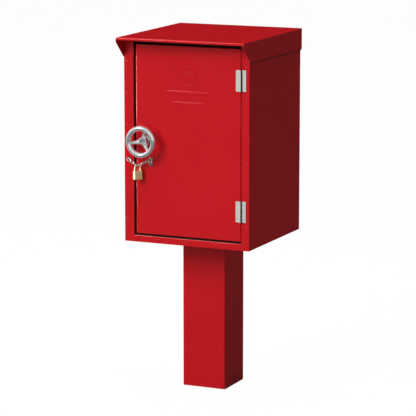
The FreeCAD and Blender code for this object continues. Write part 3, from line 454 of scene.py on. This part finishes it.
def join_form(form, part, matrix):
    """Moves one bmesh to its place and adds it to another."""
    bmesh.ops.transform(part, verts=part.verts, matrix=matrix)
    mesh = bpy.data.meshes.new("joined_form")
    part.to_mesh(mesh)
    part.free()
    form.from_mesh(mesh)
    bpy.data.meshes.remove(mesh)


def add_screw_head(form, low, high, detail):
    """A countersunk head with a cross recess, in the box of the plain one and facing the front."""
    part = bmesh.new()
    radius = (high.x - low.x) / 2
    depth = high.y - low.y
    bmesh.ops.create_cone(part, cap_ends=True, segments=32, radius1=radius / 2, radius2=radius,
                          depth=depth)
    top = depth / 2 - TOUCHING
    rim = [edge for edge in part.edges if all(vert.co.z > top for vert in edge.verts)]
    bmesh.ops.bevel(part, geom=rim, offset=detail.head_edge, segments=2, profile=0.5, affect="EDGES",
                    material=-1)
    arm, reach = detail.cross_arm / 2, detail.cross_reach
    for axis in (Vector((1, 0, 0)), Vector((0, 1, 0))):
        for place in (-reach, -arm, arm, reach):
            bmesh.ops.bisect_plane(part, geom=[*part.verts, *part.edges, *part.faces],
                                   plane_co=axis * place, plane_no=axis)

    def in_cross(face):
        middle = face.calc_center_median()
        across, along = sorted((abs(middle.x), abs(middle.y)))
        return face.normal.z > LEVEL and middle.z > top and across < arm and along < reach

    cross = [face for face in part.faces if in_cross(face)]
    sunk = bmesh.ops.extrude_face_region(part, geom=cross)["geom"]
    bmesh.ops.delete(part, geom=cross, context="FACES_ONLY")
    floor = [item for item in sunk if isinstance(item, bmesh.types.BMVert)]
    bmesh.ops.translate(part, verts=floor, vec=(0, 0, -detail.cross_depth))
    facing_front = Matrix.Rotation(math.radians(90), 4, "X")
    join_form(form, part, Matrix.Translation((low + high) / 2) @ facing_front)


def add_screw_heads(node_name, detail, form):
    """Heads with a cross recess in place of all the plain heads of a node."""
    for low, high in solid_boxes(node_name):
        add_screw_head(form, low, high, detail)


def add_raised_plate(form, matrix, width, height, corner, rise, line=None):
    """A plate with round corners, or its border alone where a line width is given.

    It is made facing up and is then put in its place by the matrix.
    """
    part = bmesh.new()
    size = Matrix.Diagonal((width, height, 1, 1))
    sheet = bmesh.ops.create_grid(part, x_segments=1, y_segments=1, size=0.5, matrix=size)["verts"]
    bmesh.ops.bevel(part, geom=sheet, offset=corner, segments=6, profile=0.5, affect="VERTICES",
                    material=-1)
    faces = part.faces[:]
    if line:
        inside = faces
        faces = bmesh.ops.inset_individual(part, faces=inside, thickness=line,
                                           use_even_offset=True)["faces"]
        bmesh.ops.delete(part, geom=inside, context="FACES")
    raised = bmesh.ops.extrude_face_region(part, geom=faces, use_keep_orig=True)["geom"]
    top = [item for item in raised if isinstance(item, bmesh.types.BMFace)]
    corners = [vert for vert in part.verts if any(face in top for face in vert.link_faces)]
    bmesh.ops.translate(part, verts=corners, vec=(0, 0, rise))
    outline = [edge for edge in part.edges if sum(face in top for face in edge.link_faces) == 1]
    bmesh.ops.bevel(part, geom=outline, offset=rise * EDGE_SHARE, segments=3, profile=0.5,
                    affect="EDGES", material=-1)
    join_form(form, part, matrix)


class PARCELBOX_OT_paint(bpy.types.Operator):
    """Paint the post, the cabinet, the hood, the door and the rivets"""

    bl_idname = "parcelbox.paint"
    bl_label = "Paint Sheet Steel"

    def execute(self, context):
        look = context.scene.parcel_box.finish
        give_finish(painted_steel("red_gloss_paint", look, look.paint_specular), PAINTED)
        give_finish(painted_steel("red_rivet_paint", look, look.rivet_specular), RIVETS)
        return {"FINISHED"}


class PARCELBOX_OT_wheel(bpy.types.Operator):
    """Polish the hand wheel and plate the latch and the flange bolts"""

    bl_idname = "parcelbox.wheel"
    bl_label = "Plate Wheel and Latch"

    def execute(self, context):
        look = context.scene.parcel_box.finish
        chrome = bright_metal(look, "polished_chrome_plate", look.chrome, roughness=0.13, spread=0.06,
                              grain=1.2, metallic=0.84)
        zinc = bright_metal(look, "bright_zinc_plate", look.zinc, roughness=0.34, spread=0.12, grain=0.8)
        give_finish(chrome, CHROMED)
        give_finish(zinc, PLATED)
        return {"FINISHED"}


class PARCELBOX_OT_hinges(bpy.types.Operator):
    """Brush the hinges with painted shade beside their barrels, and give their screws a cross recess"""

    bl_idname = "parcelbox.hinges"
    bl_label = "Finish Hinges"

    def execute(self, context):
        look, detail = context.scene.parcel_box.finish, context.scene.parcel_box.detail
        # Painted shade: a dark strip on the hinges just right of each barrel, where the crease beside it is
        # in shade
        low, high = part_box("upper_hinge_pin")
        axis = (low.x + high.x) / 2
        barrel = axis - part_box("upper_frame_leaf")[0].x
        painted_shade = (look.hinge_painted_shade, axis + barrel * SHADE_START, axis + barrel * SHADE_END, barrel * SHADE_EDGE)
        steel = bright_metal(look, "brushed_hinge_steel", look.hinge, roughness=0.55, spread=0.16,
                             grain=0.5, stretch=(1, 1, 0.03), metallic=0.3, mottle=0.3, painted_shade=painted_shade)
        # Near-black pins, which show as a dark dot at the foot of each barrel
        black = bright_metal(look, "dark_hinge_pin", look.hinge_pin, roughness=0.5, spread=0.1, grain=0.5,
                             metallic=0.3)
        give_finish(steel, HINGES)
        give_finish(black, HINGE_PINS)
        for body, node_name in (("cabinet", "frame_leaf_screws"), ("door", "door_leaf_screws")):
            heads = partial(add_screw_heads, node_name, detail)
            piece = finished_piece(f"{node_name}_cross", heads, steel, body)
            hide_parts(node_name)
        return {"FINISHED"}


class PARCELBOX_OT_chain(bpy.types.Operator):
    """Finish the chain, its stud and its eye"""

    bl_idname = "parcelbox.chain"
    bl_label = "Finish Chain"

    def execute(self, context):
        look = context.scene.parcel_box.finish
        steel = bright_metal(look, "polished_chain_steel", look.chain, roughness=0.16, spread=0.1,
                             grain=0.6)
        give_finish(steel, CHAIN)
        return {"FINISHED"}


class PARCELBOX_OT_padlock(bpy.types.Operator):
    """Finish the padlock in brushed brass"""

    bl_idname = "parcelbox.padlock"
    bl_label = "Finish Padlock"

    def execute(self, context):
        look = context.scene.parcel_box.finish
        brass = bright_metal(look, "brushed_brass", look.brass, roughness=0.36, spread=0.16, grain=0.4,
                             stretch=(1, 1, 0.04), metallic=0.3)
        give_finish(brass, PADLOCK)
        return {"FINISHED"}


class PARCELBOX_OT_seals(bpy.types.Operator):
    """Blacken the rubber of the door's seal and the hood's gasket, which also paint the shade in the door's
    gaps and under the hood's skirt
    """

    bl_idname = "parcelbox.seals"
    bl_label = "Finish Seals"

    def execute(self, context):
        give_finish(black_rubber_and_shade(context.scene.parcel_box.finish), SEALS_AND_SHADE_STRIPS)
        return {"FINISHED"}


class PARCELBOX_OT_relief(bpy.types.Operator):
    """Press a plain parcel sign and two beads into the door's face"""

    bl_idname = "parcelbox.relief"
    bl_label = "Press Door Sign"

    def execute(self, context):
        detail = context.scene.parcel_box.detail
        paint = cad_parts["door_panel"].data.materials[0]
        low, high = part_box("door_panel")
        sunk = detail.relief_rise / 4
        rise = detail.relief_rise + sunk
        foot = Matrix.Translation(((low.x + high.x) / 2, low.y + sunk, low.z))
        on_door = foot @ Matrix.Rotation(math.radians(90), 4, "X")

        def press_plate(form, up, width, height, corner, line=None):
            place = on_door @ Matrix.Translation((0, up, 0))
            add_raised_plate(form, place, width, height, corner, rise, line)

        def sign(form):
            wide, line, tape = detail.sign_width, detail.sign_line, detail.sign_tape
            press_plate(form, detail.sign_up, wide, wide, detail.sign_corner, line)
            press_plate(form, detail.sign_up + (wide - tape) / 2 - line, line * 2, tape, line / 2)

        def beads(form):
            for up, length in ((detail.upper_bead_up, detail.upper_bead),
                               (detail.lower_bead_up, detail.lower_bead)):
                press_plate(form, up, length, detail.bead_height, detail.bead_corner)

        finished_piece("parcel_sign", sign, paint, "door")
        finished_piece("door_beads", beads, paint, "door")
        return {"FINISHED"}


class PARCELBOX_OT_stage(bpy.types.Operator):
    """Set the floor, the lamps, the sky and the camera"""

    bl_idname = "parcelbox.stage"
    bl_label = "Set Stage"

    def execute(self, context):
        studio = context.scene.parcel_box.studio
        self.lay_floor(context, studio)
        self.stand_flags(context, studio)
        self.light_sky(context, studio)
        self.hang_lamp(context, "key_lamp", studio.key_power, studio.key_place, (7.0, 7.0), shines=False)
        self.hang_lamp(context, "top_lamp", studio.top_power, studio.top_place, (5.0, 5.0), shines=False)
        self.hang_lamp(context, "edge_lamp", studio.edge_power, studio.edge_place, (0.4, 2.0), lights=False,
                       only=EDGE_LIT)
        self.hang_lamp(context, "spark_lamp", studio.spark_power, studio.spark_place, (1.5, 1.5),
                       lights=False)
        self.place_camera(context, studio)
        context.scene.view_settings.view_transform = "Standard"
        return {"FINISHED"}

    def lay_floor(self, context, studio):
        def surface(nodes):
            seen = self.seen_rays(nodes)
            lit = nodes.add("ShaderNodeBsdfDiffuse", None, {"Color": (*studio.floor, 1)})
            white = nodes.add("ShaderNodeEmission", None, {"Color": (1, 1, 1, 1),
                                                            "Strength": studio.floor_white})
            return nodes.add("ShaderNodeMixShader", None, {0: seen * studio.floor_glow, 1: lit, 2: white})

        form = bmesh.new()
        bmesh.ops.create_circle(form, cap_ends=True, segments=FLOOR_SEGMENTS, radius=FLOOR_RADIUS)
        mesh = bpy.data.meshes.new("studio_floor")
        form.to_mesh(mesh)
        form.free()
        mesh.materials.append(finish("pale_floor", surface))
        floor = bpy.data.objects.new("studio_floor", mesh)
        context.scene.collection.objects.link(floor)

    def stand_flags(self, context, studio):
        """Cloths on the floor, and flags round the part and over it, that show only in reflections."""
        inner = (0, -CLOTH_START, CLOTH_LIFT)
        outer = (0, -FLAG_DISTANCE, CLOTH_LIFT)
        sill = (0, -FLAG_DISTANCE, FLAG_SILL)
        upper = (0, -FLAG_DISTANCE, FLAG_HEIGHT)
        crown = (0, 0, FLAG_HEIGHT)
        for name, outline, turns, brightness in (
                ("front_cloth", (inner, outer, sill), FRONT, studio.front_cloth),
                ("front_flag", (sill, upper), FRONT, studio.front_flag),
                ("side_cloth", (inner, outer), SIDE, studio.rear_flag),
                ("side_flag", (outer, upper), SIDE, studio.side_flag),
                ("rear_flag", (inner, outer, upper), REAR, studio.rear_flag),
                ("back_flag", (inner, outer, upper), BACK, studio.back_flag),
                ("left_cloth", (inner, outer), LEFT, studio.left_cloth),
                ("left_flag", (outer, upper), LEFT, studio.left_flag),
                ("top_flag", (crown, upper), ALL_ROUND, studio.top_flag)):
            self.hold_flag(context, name, outline, turns, brightness)

    def hold_flag(self, context, name, outline, turns, brightness):
        """A flag that stands where its outline is spun round the part, from one turn to the other."""

        def surface(nodes):
            return nodes.add("ShaderNodeEmission", None, {"Color": (1, 1, 1, 1), "Strength": brightness})

        start, end = (math.radians(turn) for turn in turns)
        form = bmesh.new()
        section = [form.verts.new(place) for place in outline]
        edges = [form.edges.new(pair) for pair in zip(section, section[1:])]
        bmesh.ops.rotate(form, verts=section, cent=(0, 0, 0), matrix=Matrix.Rotation(start, 3, "Z"))
        bmesh.ops.spin(form, geom=[*section, *edges], cent=(0, 0, 0), axis=(0, 0, 1), angle=end - start,
                       steps=FLAG_SEGMENTS)
        mesh = bpy.data.meshes.new(name)
        form.to_mesh(mesh)
        form.free()
        mesh.materials.append(finish(f"{name}_cloth", surface))
        flag = bpy.data.objects.new(name, mesh)
        flag.visible_camera = False
        flag.visible_diffuse = False
        flag.visible_shadow = False
        flag.visible_transmission = False
        context.scene.collection.objects.link(flag)

    def seen_rays(self, nodes):
        """1 for what the camera sees, straight or in a reflection, and 0 for light on things."""
        rays = [nodes.add("ShaderNodeLightPath", output=f"Is {kind} Ray")
                for kind in ("Camera", "Glossy", "Transmission")]
        total = rays[0] + rays[1] + rays[2]
        return nodes.add("ShaderNodeClamp", None, {"Value": total})

    def light_sky(self, context, studio):
        world = bpy.data.worlds.new("studio_sky")
        world.use_nodes = True
        nodes = Nodes(world.node_tree)
        strength = studio.ambient + (studio.sky - studio.ambient) * self.seen_rays(nodes)
        sky = nodes.add("ShaderNodeBackground", None, {"Color": (1, 1, 1, 1), "Strength": strength})
        nodes.add("ShaderNodeOutputWorld", None, {"Surface": sky}, output=None)
        context.scene.world = world

    def hang_lamp(self, context, name, power, offset, size, lights=True, shines=True, only=()):
        """A lamp turned to the part's middle, that lights things, shows in their gloss, or does both.

        Where nodes are named, the lamp is for them alone.
        """
        data = bpy.data.lights.new(name, "AREA")
        data.shape = "ELLIPSE"
        data.size, data.size_y = size
        data.energy = power
        lamp = bpy.data.objects.new(name, data)
        lamp.location = (cad_box[0] + cad_box[1]) / 2 + Vector(offset)
        lamp.rotation_euler = (-Vector(offset)).to_track_quat("-Z", "Y").to_euler()
        lamp.visible_diffuse = lights
        lamp.visible_glossy = shines
        if only:
            lit = bpy.data.collections.new(f"{name}_nodes")
            for node_name in only:
                lit.objects.link(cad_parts[node_name])
            lamp.light_linking.receiver_collection = lit
        context.scene.collection.objects.link(lamp)

    def place_camera(self, context, studio):
        data = bpy.data.cameras.new("studio_camera")
        data.sensor_width = SENSOR_WIDTH
        data.lens = studio.lens
        data.clip_end = CAMERA_REACH
        camera = bpy.data.objects.new("studio_camera", data)
        camera.location = studio.camera_place
        camera.rotation_euler = Euler((math.radians(90) - studio.camera_pitch, 0, studio.camera_yaw))
        context.scene.collection.objects.link(camera)
        context.scene.camera = camera


class PARCELBOX_PT_sidebar(bpy.types.Panel):
    """Buttons and settings of the parcel box"""

    bl_idname = "PARCELBOX_PT_sidebar"
    bl_label = "Parcel Box"
    bl_space_type = "VIEW_3D"
    bl_region_type = "UI"
    bl_category = "Parcel Box"

    def draw(self, context):
        settings = context.scene.parcel_box
        for operator in OPERATORS:
            self.layout.operator(operator.bl_idname)
        for group in (settings.finish, settings.detail, settings.studio):
            column = self.layout.column(align=True)
            for name in group.__annotations__:
                column.prop(group, name)


PROPERTY_GROUPS = (FinishProperties, DetailProperties, StudioProperties, ParcelBoxProperties)
OPERATORS = (PARCELBOX_OT_paint, PARCELBOX_OT_wheel, PARCELBOX_OT_hinges, PARCELBOX_OT_chain,
             PARCELBOX_OT_padlock, PARCELBOX_OT_seals, PARCELBOX_OT_relief, PARCELBOX_OT_stage)
CLASSES = (*PROPERTY_GROUPS, *OPERATORS, PARCELBOX_PT_sidebar)


def register():
    for item in CLASSES:
        bpy.utils.register_class(item)
    bpy.types.Scene.parcel_box = PointerProperty(type=ParcelBoxProperties)


def unregister():
    del bpy.types.Scene.parcel_box
    for item in reversed(CLASSES):
        bpy.utils.unregister_class(item)


def main():
    register()
    bpy.ops.parcelbox.paint()
    bpy.ops.parcelbox.wheel()
    bpy.ops.parcelbox.hinges()
    bpy.ops.parcelbox.chain()
    bpy.ops.parcelbox.padlock()
    bpy.ops.parcelbox.seals()
    bpy.ops.parcelbox.relief()
    bpy.ops.parcelbox.stage()


if __name__ == "__main__":
    main()
